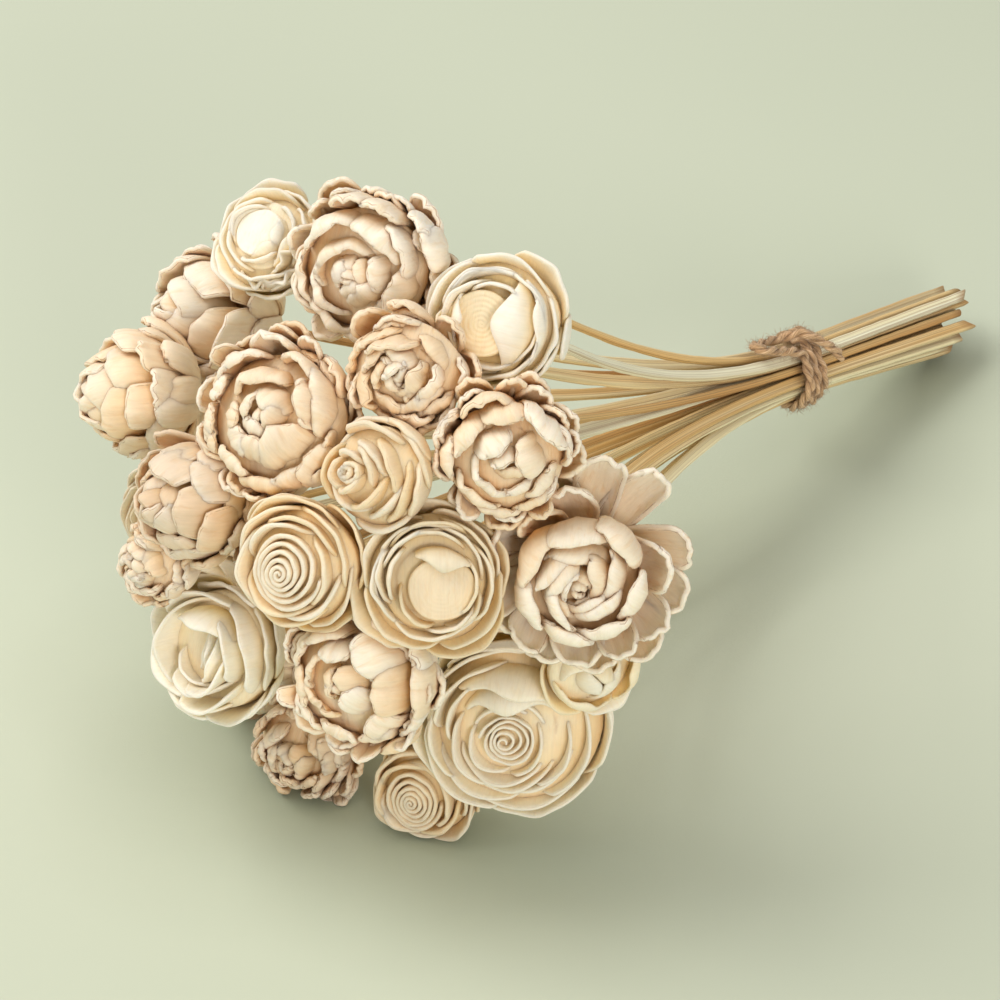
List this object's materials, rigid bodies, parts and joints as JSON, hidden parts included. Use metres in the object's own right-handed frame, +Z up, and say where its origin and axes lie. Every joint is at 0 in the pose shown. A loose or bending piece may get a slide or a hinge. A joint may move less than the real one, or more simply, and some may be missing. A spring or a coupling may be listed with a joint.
{
  "type": "tied bunch of wood flowers on stems",
  "caption": "Hand-tied bunch of dried carved-pith roses, peonies and lotus flowers on split reed stems, bound with jute twine and lying on its side.",
  "frame": {"origin": "centre of the footprint, on the surface that the bunch lies on", "axes": "+Z up; the bunch lies along X, its flowers towards -X and its cut stem ends towards +X"},
  "size_m": [0.3697, 0.2018, 0.1843],
  "materials": {
    "pith_beige": "matt shaved pith, warm beige with thin brown skin edges",
    "pith_cream": "matt shaved pith, cream with golden depths",
    "pith_ivory": "smooth matt shaved pith, pale ivory",
    "round_reed": "dry satin reed, tan with brown streaks along the grain",
    "split_reed": "dry satin split reed, straw to pale green-grey, grain along its length",
    "jute_twine": "rough two-ply jute, matt, with loose fibres"
  },
  "bodies": {
    "root": {"button_rose_1": "pith_ivory", "button_rose_2": "pith_ivory", "button_rose_3": "pith_ivory", "button_rose_4": "pith_ivory", "spiral_rose_1": "pith_cream", "spiral_rose_2": "pith_cream", "spiral_rose_3": "pith_cream", "spiral_rose_4": "pith_cream", "spiral_rose_5": "pith_cream", "spiral_rose_6": "pith_cream", "cup_rose_1": "pith_ivory", "lotus_1": "pith_beige", "lotus_2": "pith_beige", "lotus_3": "pith_beige", "peony_1": "pith_beige", "peony_2": "pith_beige", "peony_3": "pith_beige", "peony_4": "pith_beige", "peony_5": "pith_beige", "peony_6": "pith_beige", "peony_7": "pith_beige", "peony_8": "pith_beige", "peony_9": "pith_beige", "peony_10": "pith_beige", "stem_of_button_rose_1": "split_reed", "stem_of_button_rose_2": "split_reed", "stem_of_button_rose_3": "round_reed", "stem_of_button_rose_4": "split_reed", "stem_of_spiral_rose_1": "split_reed", "stem_of_spiral_rose_2": "round_reed", "stem_of_spiral_rose_3": "split_reed", "stem_of_spiral_rose_4": "split_reed", "stem_of_spiral_rose_5": "round_reed", "stem_of_spiral_rose_6": "split_reed", "stem_of_cup_rose_1": "split_reed", "stem_of_lotus_1": "round_reed", "stem_of_lotus_2": "split_reed", "stem_of_lotus_3": "split_reed", "stem_of_peony_1": "round_reed", "stem_of_peony_2": "split_reed", "stem_of_peony_3": "split_reed", "stem_of_peony_4": "round_reed", "stem_of_peony_5": "split_reed", "stem_of_peony_6": "split_reed", "stem_of_peony_7": "round_reed", "stem_of_peony_8": "split_reed", "stem_of_peony_9": "split_reed", "stem_of_peony_10": "round_reed", "twine_tie": "jute_twine"}
  },
  "joints": []
}
